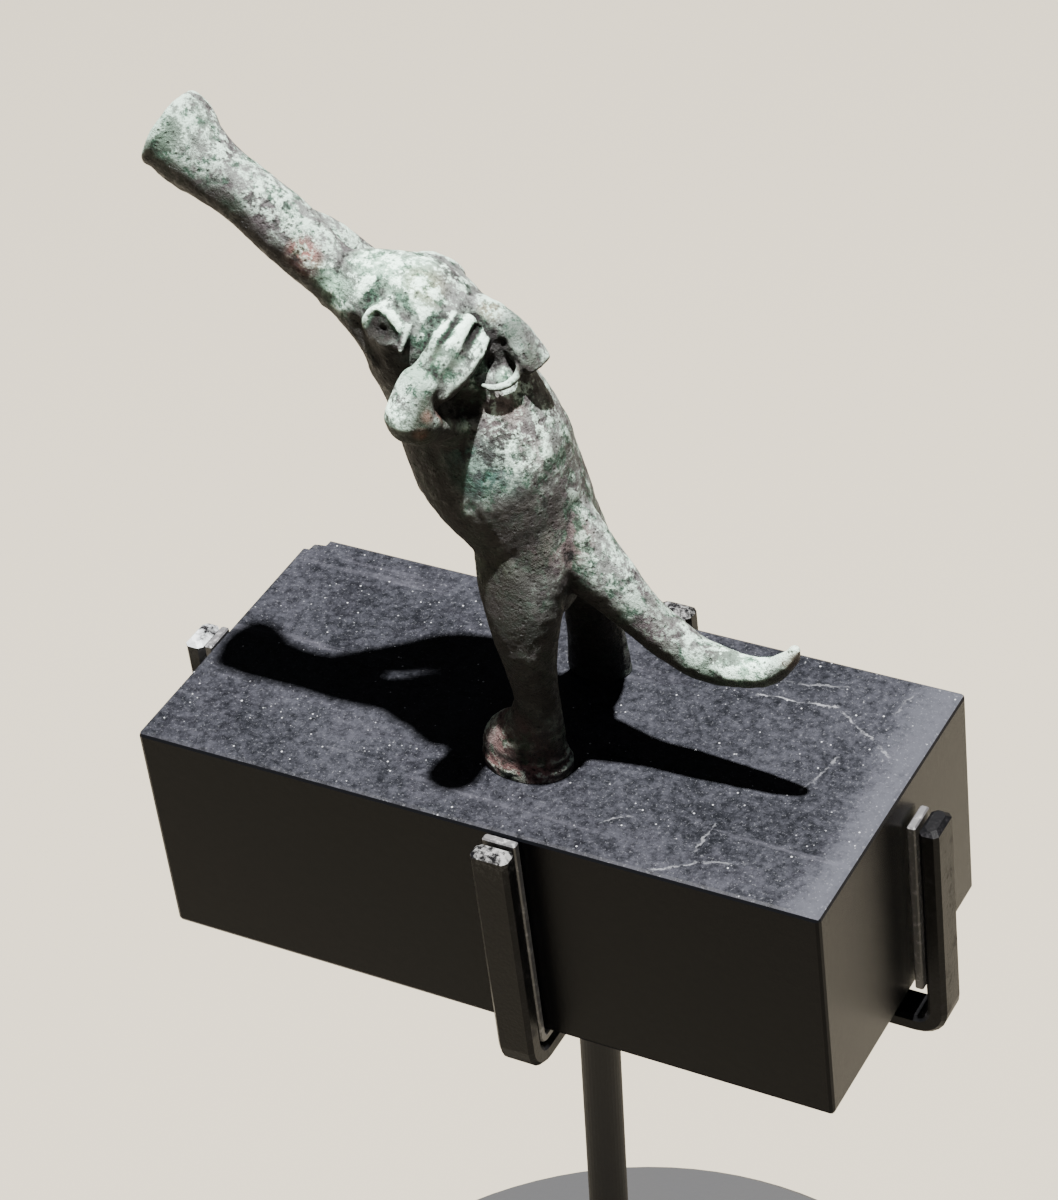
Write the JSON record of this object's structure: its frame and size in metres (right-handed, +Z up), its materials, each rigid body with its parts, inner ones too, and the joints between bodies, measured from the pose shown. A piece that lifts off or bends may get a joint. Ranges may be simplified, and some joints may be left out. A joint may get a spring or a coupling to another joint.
{
  "type": "mouse figurine",
  "caption": "Small cast bronze mouse blowing a long trumpet, on a dark stone block held by a clip cradle on a leaning rod and round foot plate",
  "frame": {"origin": "centre of the foot plate's underside, on the surface the stand rests on", "axes": "+Z up; the mouse faces and blows its trumpet towards -X, its tail points to +X, and its right side with the bent arm, which the picture shows, faces -Y"},
  "size_m": [0.06, 0.06, 0.1252],
  "materials": {
    "patinated_bronze": "pitted mottled green patina over dark bronze",
    "black_stone": "polished black stone with a dusty, scratched top",
    "blackened_strip": "satin black",
    "pale_lining": "dull pale film",
    "grey_painted_steel": "matt dark grey paint"
  },
  "bodies": {
    "root": {"mouse": "patinated_bronze", "block": "black_stone", "cradle": "blackened_strip", "lining_front": "pale_lining", "lining_back": "pale_lining", "lining_left": "pale_lining", "lining_right": "pale_lining", "rod": "grey_painted_steel", "foot_plate": "grey_painted_steel"}
  },
  "joints": []
}
